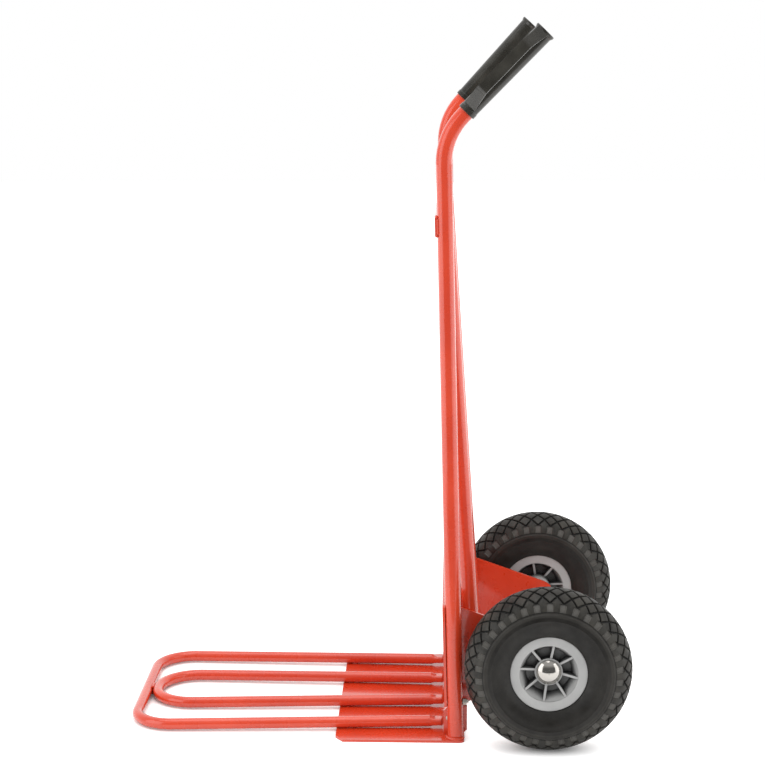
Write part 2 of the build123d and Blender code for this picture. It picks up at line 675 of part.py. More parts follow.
def loop_knuckles():
    # eyes that lift the loops' ends to the hinge rod
    low = arm_z(KNUCKLE_FRONT) - TONGUE_THICK / 2
    foot = Pos(KNUCKLE_FRONT, low) * Rectangle(KNUCKLE_FOOT, TONGUE_THICK, align=(Align.MIN, Align.MIN))
    eye = Pos(HINGE_Y, HINGE_Z) * Circle(KNUCKLE_RADIUS)
    face = make_hull(foot.edges() + eye.edges())
    face -= Pos(HINGE_Y, HINGE_Z) * Circle(HINGE_OD / 2 + HINGE_FIT)
    knuckle = extrude(Plane.YZ * face, KNUCKLE_WIDTH / 2, both=True)
    return [Pos(x, 0, 0) * knuckle for x in (-OUTER_HALF, -INNER_HALF, INNER_HALF, OUTER_HALF)]


def lug_x():
    # outer face of the left lug, against the tube's inner side
    return TUBE_X - TUBE_R - WELD_GAP


def hinge_lug(side):
    front = HINGE_Y - LUG_FRONT
    rear = front + LUG_DEPTH
    top = BACK_PLATE_BOTTOM - LUG_DROP
    outline = Polyline(
        (front, TOE_THICK), (front, top - LUG_CUT), (front + LUG_CUT, top), (rear, top),
        (rear, TOE_THICK + LUG_CUT), (rear - LUG_CUT, TOE_THICK), close=True,
    )
    face = make_face(outline) - Pos(HINGE_Y, HINGE_Z) * Circle(HINGE_OD / 2 + HINGE_FIT)
    start = lug_x() - LUG_THICK if side > 0 else -lug_x()
    return Pos(start, 0, 0) * extrude(Plane.YZ * face, LUG_THICK)


def hinge_rod():
    return Pos(0, HINGE_Y, HINGE_Z) * rod(HINGE_OD / 2, -lug_x(), 2 * lug_x())


def hinge_sleeves():
    # keep the loops in the middle of the rod
    inner = HINGE_OD / 2 + HINGE_FIT
    start = OUTER_HALF + KNUCKLE_WIDTH / 2 + RUN_GAP
    sleeve = ring(inner + SLEEVE_WALL, inner, start, lug_x() - LUG_THICK - start)
    return [Pos(0, HINGE_Y, HINGE_Z) * Rot(0, 0, turn) * sleeve for turn in (0, 180)]


def all_pieces():
    pieces = {
        "toe_plate": toe_plate(),
        "back_plate": back_plate(),
        "top_crossbar": top_crossbar(),
        "stay_plugs": stay_plugs(),
        "plate_screws": screws(),
        "plate_nuts": nuts(),
        "axle": axle(),
        "axle_washers": axle_washers(),
        "axle_spacers": axle_spacers(),
        "hinge_rod": hinge_rod(),
        "hinge_sleeves": hinge_sleeves(),
        "outer_loop": outer_loop(),
        "inner_loop": inner_loop(),
        "loop_knuckles": loop_knuckles(),
    }
    sided = {
        "side_tube": side_tube, "grip": grip, "gusset": gusset, "stay": stay, "hinge_lug": hinge_lug,
        "hub_cap": hub_cap, "tyre": tyre, "inner_tube": inner_tube, "rim_outer": rim_outer,
        "rim_inner": rim_inner, "wheel_bushes": wheel_bushes,
    }
    for name, make in sided.items():
        pieces["left_" + name] = make(1)
        pieces["right_" + name] = make(-1)
    return pieces


def main():
    os.makedirs("parts", exist_ok=True)
    for name, shape in all_pieces().items():
        solids = shape if isinstance(shape, list) else [shape]
        solids = [solid for item in solids for solid in item.solids()]
        node = solids[0] if len(solids) == 1 else Compound(children=solids)
        node.label = name
        export_step(node, os.path.join("parts", name + ".step"), write_pcurves=False)


main()
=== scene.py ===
import json
import math
import bmesh
import bpy
from mathutils import Matrix, Vector


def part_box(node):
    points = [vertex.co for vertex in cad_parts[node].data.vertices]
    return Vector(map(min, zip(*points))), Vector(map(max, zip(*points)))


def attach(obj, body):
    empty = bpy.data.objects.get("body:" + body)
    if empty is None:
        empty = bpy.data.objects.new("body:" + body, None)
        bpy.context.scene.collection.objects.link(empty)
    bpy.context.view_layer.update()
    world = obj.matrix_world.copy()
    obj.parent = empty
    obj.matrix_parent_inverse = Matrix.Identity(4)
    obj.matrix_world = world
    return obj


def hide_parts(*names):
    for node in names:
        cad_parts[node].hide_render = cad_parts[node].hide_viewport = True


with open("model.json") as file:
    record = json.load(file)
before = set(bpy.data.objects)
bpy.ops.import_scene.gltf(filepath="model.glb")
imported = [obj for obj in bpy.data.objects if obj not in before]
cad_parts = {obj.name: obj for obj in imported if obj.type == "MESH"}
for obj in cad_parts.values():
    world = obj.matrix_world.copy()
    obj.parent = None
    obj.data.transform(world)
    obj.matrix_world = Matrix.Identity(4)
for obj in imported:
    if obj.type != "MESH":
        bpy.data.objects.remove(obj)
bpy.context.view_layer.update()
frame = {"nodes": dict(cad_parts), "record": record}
print("frame loaded:", len(frame["nodes"]), "nodes")


def corners(node):
    return [Vector(c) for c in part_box(node)]


def tyreSection():
    # radius of the circle in the middle of a tyre's section, and of the section itself
    low, high = corners("left_tyre")
    bulge = (high.x - low.x) / 2
    return (high.z - low.z) / 2 - bulge, bulge


# camera
shot = dict(
    place=(3.1963, 0.0834, 1.1654),  # metres, at the left side of the truck
    yaw=-2.076, pitch=11.137, roll=-0.187,  # degrees
    focalPixels=2007.34, imagePixels=765, sensor=36.0, farClip=60.0,
)


def placeCamera():
    yaw, pitch, roll = (math.radians(shot[k]) for k in ("yaw", "pitch", "roll"))
    ahead = Vector((-math.cos(yaw) * math.cos(pitch), math.sin(yaw) * math.cos(pitch), -math.sin(pitch)))
    right = ahead.cross(Vector((0, 0, 1))).normalized()
    up = right.cross(ahead)
    side = right * math.cos(roll) + up * math.sin(roll)
    top = up * math.cos(roll) - right * math.sin(roll)
    data = bpy.data.cameras.new("photoCamera")
    data.sensor_fit = "HORIZONTAL"
    data.sensor_width = shot["sensor"]
    data.lens = shot["sensor"] * shot["focalPixels"] / shot["imagePixels"]
    data.clip_end = shot["farClip"]
    camera = bpy.data.objects.new("photoCamera", data)
    turn = Matrix((side, top, -ahead)).transposed().to_4x4()
    camera.matrix_world = Matrix.Translation(Vector(shot["place"])) @ turn
    bpy.context.scene.collection.objects.link(camera)
    bpy.context.scene.camera = camera


placeCamera()
bpy.context.scene.view_settings.view_transform = "Standard"
print("camera placed")


# node helpers
def startMaterial(name):
    mat = bpy.data.materials.new(name)
    mat.use_nodes = True
    tree = mat.node_tree
    tree.nodes.clear()
    out = tree.nodes.new("ShaderNodeOutputMaterial")
    shader = tree.nodes.new("ShaderNodeBsdfPrincipled")
    tree.links.new(shader.outputs["BSDF"], out.inputs["Surface"])
    return mat, tree, shader


def grain(tree, scale, detail, rough=0.5):
    coord = tree.nodes.new("ShaderNodeTexCoord")
    noise = tree.nodes.new("ShaderNodeTexNoise")
    noise.inputs["Scale"].default_value = scale
    noise.inputs["Detail"].default_value = detail
    noise.inputs["Roughness"].default_value = rough
    tree.links.new(coord.outputs["Object"], noise.inputs["Vector"])
    return noise.outputs["Fac"]


def tint(tree, fac, stops):
    ramp = tree.nodes.new("ShaderNodeValToRGB")
    while len(ramp.color_ramp.elements) < len(stops):
        ramp.color_ramp.elements.new(0.5)
    for element, (at, colour) in zip(ramp.color_ramp.elements, stops):
        element.position = at
        element.color = (*colour, 1.0)
    tree.links.new(fac, ramp.inputs["Fac"])
    return ramp.outputs["Color"]


def spanned(tree, fac, low, high, fromLow=0.3, fromHigh=0.7):
    # most of a noise lies from 0.3 to 0.7
    span = tree.nodes.new("ShaderNodeMapRange")
    span.inputs["From Min"].default_value = fromLow
    span.inputs["From Max"].default_value = fromHigh
    span.inputs["To Min"].default_value = low
    span.inputs["To Max"].default_value = high
    tree.links.new(fac, span.inputs["Value"])
    return span.outputs["Result"]


def share(tree, value, span):
    # 0 below the span, 1 above it
    return spanned(tree, value, 0.0, 1.0, *span)


def openSky(tree, reach, span, samples):
    # 0 in nooks, 1 where nothing is near
    nook = tree.nodes.new("ShaderNodeAmbientOcclusion")
    nook.samples = samples
    nook.inputs["Distance"].default_value = reach
    return share(tree, nook.outputs["AO"], span)


def fill(tree, socket, value):
    # a link, a colour or a number
    if isinstance(value, bpy.types.NodeSocket):
        tree.links.new(value, socket)
    else:
        socket.default_value = (*value, 1.0) if isinstance(value, tuple) else value


def calc(tree, how, first, second=0.0):
    node = tree.nodes.new("ShaderNodeMath")
    node.operation = how
    fill(tree, node.inputs[0], first)
    fill(tree, node.inputs[1], second)
    return node.outputs[0]


def square(tree, value):
    return calc(tree, "MULTIPLY", value, value)


def blend(tree, fac, first, second):
    node = tree.nodes.new("ShaderNodeMix")
    node.data_type = "RGBA"
    fill(tree, node.inputs["Factor"], fac)
    fill(tree, node.inputs[6], first)  # the colour sockets A and B
    fill(tree, node.inputs[7], second)
    return node.outputs[2]


def relief(tree, shader, height, depth, strength, edge=0.0):
    bump = tree.nodes.new("ShaderNodeBump")
    bump.inputs["Strength"].default_value = strength
    bump.inputs["Distance"].default_value = depth
    tree.links.new(height, bump.inputs["Height"])
    if edge:
        soft = tree.nodes.new("ShaderNodeBevel")  # softened edges of pressed and cut metal
        soft.samples = 4
        soft.inputs["Radius"].default_value = edge
        tree.links.new(soft.outputs["Normal"], bump.inputs["Normal"])
    tree.links.new(bump.outputs["Normal"], shader.inputs["Normal"])


# finishes
octaves = dict(cloud=4.0, gloss=3.0, bumps=2.0)  # detail of the noise in each finish


def startFinish(name, look):
    # clouded colour, uneven gloss and a fine grain
    mat, tree, shader = startMaterial(name)
    cloud = grain(tree, look["cloudScale"], octaves["cloud"])
    stops = list(zip(look["cloudSpan"], (look["deep"], look["bright"])))
    tree.links.new(tint(tree, cloud, stops), shader.inputs["Base Color"])
    gloss = spanned(tree, grain(tree, look["glossScale"], octaves["gloss"]), *look["gloss"])
    tree.links.new(gloss, shader.inputs["Roughness"])
    bumps = grain(tree, look["grainScale"], octaves["bumps"])
    relief(tree, shader, bumps, look["grainDepth"], look["grainStrength"], look["edge"])
    return mat, shader


coat = dict(
    deep=(0.66, 0.046, 0.013), bright=(0.76, 0.064, 0.020), cloudScale=9.0, cloudSpan=(0.3, 0.7),
    gloss=(0.24, 0.32), glossScale=40.0, clear=1.0, clearRough=0.07,
    grainScale=260.0, grainDepth=0.00002, grainStrength=0.4, edge=0.0008,  # orange peel, softened edges
)


def redCoat():
    mat, shader = startFinish("redCoat", coat)
    shader.inputs["Coat Weight"].default_value = coat["clear"]
    shader.inputs["Coat Roughness"].default_value = coat["clearRough"]
    return mat


gripLook = dict(
    deep=(0.019, 0.0175, 0.0135), bright=(0.044, 0.041, 0.033), cloudScale=25.0, cloudSpan=(0.35, 0.7),
    gloss=(0.18, 0.26), glossScale=90.0, shine=0.75,
    grainScale=900.0, grainDepth=0.00003, grainStrength=0.5, edge=0.0008,
)


def gripPlastic():
    mat, shader = startFinish("gripPlastic", gripLook)
    shader.inputs["Specular IOR Level"].default_value = gripLook["shine"]
    return mat


rubber = dict(
    # cosine of the angle from the crown, and the clean and worn colours there
    section=[
        (0.00, (0.0075, 0.0065, 0.0050), (0.019, 0.017, 0.014)),  # sidewall
        (0.14, (0.0085, 0.0075, 0.0060), (0.021, 0.019, 0.016)),
        (0.17, (0.020, 0.018, 0.015), (0.036, 0.033, 0.028)),  # paler band below the shoulder
        (0.32, (0.020, 0.018, 0.015), (0.036, 0.033, 0.028)),
        (0.335, (0.005, 0.0045, 0.004), (0.008, 0.0075, 0.006)),  # fine line
        (0.35, (0.005, 0.0045, 0.004), (0.008, 0.0075, 0.006)),
        (0.365, (0.013, 0.012, 0.0095), (0.046, 0.042, 0.034)),  # blocks
        (1.00, (0.013, 0.012, 0.0095), (0.046, 0.042, 0.034)),
    ],
    wearScale=34.0, wearDetail=7.0, wearRough=0.65, wearSpan=(0.36, 0.68),
    # groove colour is painted shade, notch colour a painted highlight
    groove=(0.003, 0.003, 0.0026), notchHighlight=(0.088, 0.083, 0.074),
    treadSpan=(0.355, 0.365), crownSpan=(0.60, 0.65),  # cosines where the notches and the grooves begin
    grooveSpan=(0.0006, 0.0016),  # depth below the blocks, metres
    gloss=(0.34, 0.58), glossScale=60.0, notchGloss=0.30, shine=0.40,
    grainScale=420.0, grainDetail=4.0, grainDepth=0.00016, grainStrength=0.6,
)


def tyreRubber():
    # colours by the place on the tyre's section: painted shade in the grooves, a painted highlight on the
    # ribbed notches
    middle, bulge = tyreSection()
    mat, tree, shader = startMaterial("tyreRubber")
    coord = tree.nodes.new("ShaderNodeTexCoord")
    split = tree.nodes.new("ShaderNodeSeparateXYZ")
    tree.links.new(coord.outputs["Object"], split.inputs["Vector"])
    flat = calc(tree, "ADD", square(tree, split.outputs["Y"]), square(tree, split.outputs["Z"]))
    up = calc(tree, "SUBTRACT", calc(tree, "SQRT", flat), middle)
    reach = calc(tree, "SQRT", calc(tree, "ADD", square(tree, up), square(tree, split.outputs["X"])))
    crown = calc(tree, "DIVIDE", up, reach)
    baseTone = tint(tree, crown, [(at, deep) for at, deep, worn in rubber["section"]])
    worn = tint(tree, crown, [(at, worn) for at, deep, worn in rubber["section"]])
    wear = grain(tree, rubber["wearScale"], rubber["wearDetail"], rubber["wearRough"])
    skin = blend(tree, share(tree, wear, rubber["wearSpan"]), baseTone, worn)
    cut = share(tree, calc(tree, "SUBTRACT", bulge, reach), rubber["grooveSpan"])
    onCrown = share(tree, crown, rubber["crownSpan"])
    onTread = share(tree, crown, rubber["treadSpan"])
    inNotch = calc(tree, "MULTIPLY", calc(tree, "SUBTRACT", onTread, onCrown), cut)
    # painted shade: the grooves on the crown get a near-black colour
    skin = blend(tree, calc(tree, "MULTIPLY", onCrown, cut), skin, rubber["groove"])
    # painted highlight: the ribbed notches on the shoulders get a pale colour, as if catching the light
    tree.links.new(blend(tree, inNotch, skin, rubber["notchHighlight"]), shader.inputs["Base Color"])
    gloss = spanned(tree, grain(tree, rubber["glossScale"], octaves["gloss"]), *rubber["gloss"])
    drop = calc(tree, "MULTIPLY", inNotch, calc(tree, "SUBTRACT", gloss, rubber["notchGloss"]))
    tree.links.new(calc(tree, "SUBTRACT", gloss, drop), shader.inputs["Roughness"])
    shader.inputs["Specular IOR Level"].default_value = rubber["shine"]
    bumps = grain(tree, rubber["grainScale"], rubber["grainDetail"])
    relief(tree, shader, bumps, rubber["grainDepth"], rubber["grainStrength"])
    return mat


rimLook = dict(
    deep=(0.40, 0.40, 0.395), bright=(0.47, 0.47, 0.462), cloudScale=30.0, cloudSpan=(0.3, 0.7),
    shade=(0.016, 0.016, 0.016), shadeReach=0.03, shadeSamples=8,
    shadeSpan=(0.20, 0.58),  # open sky below which the recesses get painted shade
    gloss=(0.36, 0.48), glossScale=70.0,
    grainScale=1100.0, grainDepth=0.00003, grainStrength=0.5, edge=0.0009,
)


def rimPlastic():
    mat, shader = startFinish("rimPlastic", rimLook)
    tree = mat.node_tree
    # painted shade: the base colour goes near-black in the recesses, by ambient occlusion
    baseTone = shader.inputs["Base Color"].links[0].from_socket
    clear = openSky(tree, rimLook["shadeReach"], rimLook["shadeSpan"], rimLook["shadeSamples"])
    tree.links.new(blend(tree, clear, rimLook["shade"], baseTone), shader.inputs["Base Color"])
    return mat


zincLook = dict(
    deep=(0.52, 0.50, 0.44), bright=(0.68, 0.67, 0.62), cloudScale=120.0, cloudSpan=(0.3, 0.7),
    gloss=(0.28, 0.42), glossScale=360.0,
    grainScale=960.0, grainDepth=0.00004, grainStrength=0.4, edge=0.0004,
)
chromeLook = dict(
    deep=(0.62, 0.59, 0.55), bright=(0.70, 0.67, 0.63), cloudScale=60.0, cloudSpan=(0.3, 0.7),
    gloss=(0.10, 0.15), glossScale=180.0,
    grainScale=480.0, grainDepth=0.000005, grainStrength=0.4, edge=0.0003,
)


def platedMetal(name, look):
    mat, shader = startFinish(name, look)
    shader.inputs["Metallic"].default_value = 1.0
    return mat


plainLook = dict(
    cloudScale=80.0, cloudSpan=(0.3, 0.7), gloss=(0.4, 0.58), glossScale=200.0,
    grainScale=900.0, grainDepth=0.00005, grainStrength=0.5, edge=0.0004,
)
plainColours = dict(
    plugBlack=dict(deep=(0.018, 0.018, 0.018), bright=(0.034, 0.033, 0.031)),
    bushNylon=dict(deep=(0.58, 0.57, 0.52), bright=(0.68, 0.67, 0.62)),
    tubeButyl=dict(deep=(0.016, 0.016, 0.016), bright=(0.03, 0.03, 0.03)),
)


def plainMoulding(name):
    return startFinish(name, dict(plainLook, **plainColours[name]))[0]


finishes = {
    "red_coat": redCoat(),
    "zinc": platedMetal("zincPlate", zincLook),
    "chrome": platedMetal("chromePlate", chromeLook),
    "grip_plastic": gripPlastic(),
    "plug_plastic": plainMoulding("plugBlack"),
    "tyre_rubber": tyreRubber(),
    "tube_rubber": plainMoulding("tubeButyl"),
    "rim_plastic": rimPlastic(),
    "bush_plastic": plainMoulding("bushNylon"),
}


def dressNodes():
    for sub in frame["record"]["subparts"]:
        node = frame["nodes"][sub["node"]]
        node.data.materials.clear()
        node.data.materials.append(finishes[sub["material_slot"]])


dressNodes()

# tyres
tread = dict(
    blocks=34, steps=22,  # diamonds round the tyre, and mesh steps in each
    notchSteps=5, wallSteps=6, cavitySteps=8,
    rows=1.5,  # from the crown to the last crossing
    grooveDepth=0.0025, grooveFloor=0.0007, grooveTop=0.0014,  # metres, half widths below and above
    notchWidth=0.0096, notchDepth=0.0018, ribHeight=0.0005,
    notchMiddle=59.0, notchEnd=69.0,  # degrees from the crown
    ridges=(74.6, 89.2), ridgeHalf=0.8,  # degrees, fine lines on the sidewalls
    wallDrop=0.0005, wallFade=40.0,  # how far the lines stand out, and degrees to where they don't
    lip=0.0602, bead=0.0509, flange=0.0239, toe=0.0179, wall=0.006,  # metres, where it sits in the rim
    cutWall=0.4, slack=1e-6, sharp=38.0,  # degrees: ends of cuts, rounding, creases that stay sharp
)


def pitchAngle(middle, bulge):
    # degrees across the crown that are as long as one diamond round it
    return math.degrees(2 * math.pi / tread["blocks"] * (middle + bulge) / bulge)


def grooveDepth(turn, rise, length):
    # turn and rise in diamonds from a block's middle, round and across
    offset = min(abs(k - round(k)) for k in (turn - 0.5 + rise, turn - 0.5 - rise)) * length / math.sqrt(2)
    slope = (tread["grooveTop"] - offset) / (tread["grooveTop"] - tread["grooveFloor"])
    return tread["grooveDepth"] * min(max(slope, 0.0), 1.0)


def notchDepth(step, angle, middle, bulge):
    # flat-floored, with fine ribs, between two shoulder blocks
    turn = step / tread["steps"]
    length = 2 * math.pi * (middle + bulge * math.cos(math.radians(angle))) / tread["blocks"]
    if abs(turn - round(turn)) * length > tread["notchWidth"] / 2:
        return 0.0
    floor = (bulge - tread["notchDepth"]) / math.cos(math.radians(angle - tread["notchMiddle"]))
    return bulge - floor - tread["ribHeight"] * (step % 2)


def wallDepth(angle):
    # sunk between the fine lines, flush towards the rim
    away = min(abs(angle - ridge) for ridge in tread["ridges"]) / tread["ridgeHalf"]
    fade = min((angle - tread["notchEnd"]) / tread["wallFade"], 1.0)
    return tread["wallDrop"] * (1.0 - fade) * min(away, 1.0)


def outerAngles(pitch, endAngle):
    # degrees from the crown to one bead, finest on the tread
    count = round(tread["rows"] * tread["steps"])
    edge, end, half = pitch * tread["rows"], tread["notchEnd"], tread["ridgeHalf"]
    angles = [edge * k / count for k in range(count + 1)]
    first, count = edge + tread["cutWall"], tread["notchSteps"]
    angles += [first + (end - first) * k / count for k in range(count + 1)]
    angles += [end + tread["cutWall"]]
    for ridge in tread["ridges"]:
        angles += [(angles[-1] + ridge) / 2, ridge - half, ridge, ridge + half]
    start, count = angles[-1], tread["wallSteps"]
    return angles + [start + (endAngle - start) * k / count for k in range(1, count + 1)]


def innerSection(middle, bulge):
    # (out, radius) points of the hidden side, from the +X bead to the -X bead
    hollow = bulge - tread["wall"]
    lip, bead, flange, toe = (tread[k] for k in ("lip", "bead", "flange", "toe"))
    half = [(flange, lip), (flange, bead), (toe, bead), (toe, (lip + bead) / 2)]
    neck = math.degrees(math.acos((lip - middle) / hollow))
    count = tread["cavitySteps"]
    arc = [math.radians(neck - 2 * neck * k / count) for k in range(count + 1)]
    cavity = [(hollow * math.sin(a), middle + hollow * math.cos(a)) for a in arc]
    return half + cavity + [(-out, radius) for out, radius in reversed(half)]


def tyrePoints(middle, bulge):
    pitch = pitchAngle(middle, bulge)
    half = outerAngles(pitch, math.degrees(math.acos((tread["lip"] - middle) / bulge)))
    angles = [-a for a in reversed(half[1:])] + half
    inner = innerSection(middle, bulge)
    stepsRound = tread["blocks"] * tread["steps"]
    points, depths = [], []
    for step in range(stepsRound):
        spin = 2 * math.pi * step / stepsRound
        section = []
        for angle in angles:
            if abs(angle) <= pitch * tread["rows"] + tread["slack"]:
                depth = grooveDepth(step / tread["steps"], angle / pitch, math.radians(pitch) * bulge)
            elif abs(angle) <= tread["notchEnd"] + tread["slack"]:
                depth = notchDepth(step, abs(angle), middle, bulge)
            else:
                depth = wallDepth(abs(angle))
            depths.append(depth)
            reach, tilt = bulge - depth, math.radians(angle)
            section.append((reach * math.sin(tilt), middle + reach * math.cos(tilt)))
        depths += [0.0] * len(inner)
        points += [(out, -r * math.sin(spin), r * math.cos(spin)) for out, r in section + inner]
    return points, depths, len(angles) + len(inner)


def tyreFaces(depths, across):
    faces = []
    for here in range(0, len(depths), across):
        there = (here + across) % len(depths)
        for k in range(across):
            a, b = here + k, here + (k + 1) % across
            d, c = there + k, there + (k + 1) % across
            if depths[a] == depths[b] == depths[c] == depths[d]:
                faces.append((a, b, c, d))
            elif depths[a] + depths[c] > depths[b] + depths[d]:  # the crease follows the groove
                faces += [(a, b, c), (a, c, d)]
            else:
                faces += [(a, b, d), (b, c, d)]
    return faces


def tyreMesh(middle, bulge):
    points, depths, across = tyrePoints(middle, bulge)
    mesh = bpy.data.meshes.new("treadedTyre")
    mesh.from_pydata(points, [], tyreFaces(depths, across))
    shell = bmesh.new()
    shell.from_mesh(mesh)
    bmesh.ops.recalc_face_normals(shell, faces=shell.faces)
    shell.to_mesh(mesh)
    shell.free()
    mesh.shade_smooth()
    mesh.set_sharp_from_angle(angle=math.radians(tread["sharp"]))
    mesh.materials.append(finishes["tyre_rubber"])
    return mesh


def fitTyres():
    mesh = tyreMesh(*tyreSection())
    for side in ("left", "right"):
        low, high = corners(side + "_tyre")
        tyre = bpy.data.objects.new(side + "Tyre", mesh.copy())
        tyre.location = (low + high) / 2
        bpy.context.scene.collection.objects.link(tyre)
        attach(tyre, side + "_wheel")
        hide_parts(side + "_tyre")


fitTyres()
print("tyres treaded")

# welds
weld = dict(
    radius=0.0022, sink=0.0006, ripple=0.18, pitch=0.0034,  # bead, and the scales along it
    step=0.0007, around=10, askew=(0.31, 0.42, 0.85),  # a direction that no bead follows
    lean=1.32,  # degrees that the side tubes lean forward
    tubeRadius=0.0125, wireRadius=0.009, axleRadius=0.010, footLand=0.0013,
    footSweep=(-105.0, 70.0), barSweep=34.0, ringSweep=172.0,  # degrees
    stitches=((0.066, 0.100), (0.120, 0.154), (0.174, 0.208)),  # heights on the gussets' front edges
    lugTrim=(0.004, 0.012), barTrim=0.003, barEnd=0.0065, loopRun=0.010,
    stayRun=(0.012, 0.075), stayBack=0.031, stayFoot=0.064,  # along the stay, and where its foot is
)
weldOff = weld["radius"] - weld["sink"]  # from a face to the middle of the bead on it


def arcPath(centre, first, second, reach, start, end):
    # points on a circle, from the first direction towards the second
    count = round(math.radians(abs(end - start)) * reach / weld["step"])
    turns = [math.radians(start + (end - start) * k / count) for k in range(count + 1)]
    return [centre + (first * math.cos(a) + second * math.sin(a)) * reach for a in turns]


def linePath(start, end):
    count = round((end - start).length / weld["step"])
    return [start.lerp(end, k / count) for k in range(count + 1)]


def beadRadius(done, total):
    # scales along the bead, and round ends
    left = min(min(done, total - done) / weld["radius"], 1.0)
    scale = abs(math.sin(math.pi * done / weld["pitch"])) - 0.5
    return weld["radius"] * (1.0 + weld["ripple"] * scale) * math.sqrt(1.0 - (1.0 - left) ** 2)


def addBead(shell, path):
    total = sum((there - here).length for here, there in zip(path, path[1:]))
    turns = [2 * math.pi * k / weld["around"] for k in range(weld["around"])]
    done, rings = 0.0, []
    for before, here, after in zip(path, path[1:], path[2:]):
        done += (here - before).length
        along = (after - before).normalized()
        side = along.cross(Vector(weld["askew"])).normalized()
        rise = side.cross(along)
        size = beadRadius(done, total)
        ring = [here + (side * math.cos(a) + rise * math.sin(a)) * size for a in turns]
        rings.append([shell.verts.new(point) for point in ring])
    for near, far in zip(rings, rings[1:]):
        for k in range(weld["around"]):
            shell.faces.new((near[k - 1], near[k], far[k], far[k - 1]))
    for point, ring in ((path[0], rings[0]), (path[-1], rings[-1])):
        tip = shell.verts.new(point)
        for k in range(weld["around"]):
            shell.faces.new((ring[k - 1], ring[k], tip))


def framePaths():
    toeHigh = corners("toe_plate")[1]
    barLow, barHigh = corners("top_crossbar")
    lean = math.radians(weld["lean"])
    footY = toeHigh.y - weld["footLand"] - weld["tubeRadius"]
    tube = weld["tubeRadius"]
    ahead, left, up = Vector((0, -1, 0)), Vector((1, 0, 0)), Vector((0, 0, 1))
    valley = math.sqrt(4 * tube * weldOff)  # a round tube against a flat face
    barTurn, ringTurn = weld["barSweep"], weld["ringSweep"]

    def tubeY(z):
        return footY - (z - toeHigh.z) * math.tan(lean)

    def plateY(z):
        return tubeY(z) - tube / math.cos(lean) + weldOff

    paths = []
    for name, side in (("left", 1), ("right", -1)):
        middleX = sum(corners(name + "_side_tube"), Vector()).x / 2
        plates = corners(name + "_gusset")
        inner = (plates[0].x if side > 0 else plates[1].x) - side * weldOff
        # tube's foot on the toe plate, crossbar's edges on the tube
        foot = Vector((middleX, footY, toeHigh.z + weldOff))
        paths.append(arcPath(foot, left * side, -ahead, tube + weldOff, *weld["footSweep"]))
        for z, way in ((barHigh.z, 1), (barLow.z, -1)):
            edge = Vector((middleX, tubeY(z), z + way * weldOff))
            paths.append(arcPath(edge, ahead, left, tube + weldOff, -barTurn, barTurn))
        barEnds = (barLow.z + weld["barTrim"], barHigh.z - weld["barTrim"])
        endX = middleX + side * weld["barEnd"]
        paths.append(linePath(*(Vector((endX, plateY(z), z)) for z in (barLow.z, barHigh.z))))
        # gusset on the back plate and round the axle
        for x in (plates[0].x - weldOff, plates[1].x + weldOff):
            for low, high in weld["stitches"]:
                paths.append(linePath(Vector((x, plateY(low), low)), Vector((x, plateY(high), high))))
        hub = sum(corners(name + "_tyre"), Vector()) / 2
        hub.x = inner
        paths.append(arcPath(hub, -ahead, up, weld["axleRadius"] + weldOff, -ringTurn, ringTurn))
        # lug on the toe plate
        lugs = corners(name + "_hinge_lug")
        lugX = (lugs[0].x if side > 0 else lugs[1].x) - side * weldOff
        start = Vector((lugX, lugs[0].y + weld["lugTrim"][0], toeHigh.z + weldOff))
        paths.append(linePath(start, Vector((lugX, lugs[1].y - weld["lugTrim"][1], start.z))))
        # stay on the gusset and on the crossbar
        stayX = sum(corners(name + "_stay"), Vector()).x / 2
        low = Vector((inner, footY + weld["stayBack"], weld["stayFoot"]))
        run = (Vector((inner, tubeY(barHigh.z), barHigh.z)) - low).normalized()
        for way in (1, -1):
            aside = low + Vector((0, run.z, -run.y)) * valley * way
            paths.append(linePath(*(aside + run * done for done in weld["stayRun"])))
            paths.append(linePath(*(Vector((stayX + valley * way, plateY(z), z)) for z in barEnds)))
    return paths


def loopPaths():
    # where the inner loop lies against the front bar, above and below
    low = corners("outer_loop")[0]
    wire = weld["wireRadius"]
    rise = math.sqrt((wire + weldOff) ** 2 - wire ** 2)
    touch = Vector((0.0, low.y + 2 * wire, low.z + wire))
    half = Vector((weld["loopRun"], 0, 0))
    seats = [touch + Vector((0, 0, rise * way)) for way in (1, -1)]
    return [linePath(seat - half, seat + half) for seat in seats]


def layWelds():
    seams = (("frameWelds", "frame", framePaths()), ("loopWelds", "toe_extension", loopPaths()))
    for name, body, paths in seams:
        shell = bmesh.new()
        for path in paths:
            addBead(shell, path)
        bmesh.ops.recalc_face_normals(shell, faces=shell.faces)
        mesh = bpy.data.meshes.new(name)
        shell.to_mesh(mesh)
        shell.free()
        mesh.shade_smooth()
        mesh.materials.append(finishes["red_coat"])
        beads = bpy.data.objects.new(name, mesh)
        bpy.context.scene.collection.objects.link(beads)
        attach(beads, body)
        print(name, len(paths), "beads")


layWelds()

# studio
studio = dict(
    floorHalf=9.0, floorFront=0.8,  # the paper ends in front of the truck
    floorColour=(0.86, 0.86, 0.855), floorRough=0.9, floorShine=0.1,
    floorLift=(0.74, 1.0), shineLift=(0.12, 1.0), liftReach=(0.9, 4.0),  # seen and mirrored, by distance
    contactReach=0.05, contactSpan=(0.15, 0.75), contactSamples=8,
    contactShade=0.08,  # lift left where the floor is covered, for a painted contact shadow
    skyBack=(1.0, 1.0), skyFront=(0.80, 0.12),  # behind truck and camera, as light and in reflections
    skySpan=(-0.6, 0.7),  # from back to front, by the ray's X
    ceiling=0.45, ceilingSpan=(0.25, 0.65),  # least in reflections from above, by the rise of the ray
    boxes=[
        dict(name="leftBox", place=(1.4, -2.1, 0.95), size=(1.9, 2.6), power=22.0),
        dict(name="rightBox", place=(1.1, 2.4, 0.95), size=(1.9, 2.6), power=18.0),
        dict(name="topBox", place=(0.3, -0.2, 2.9), size=(2.4, 2.0), power=20.0),
    ],
    aim=(0.0, 0.0, 0.45),
)


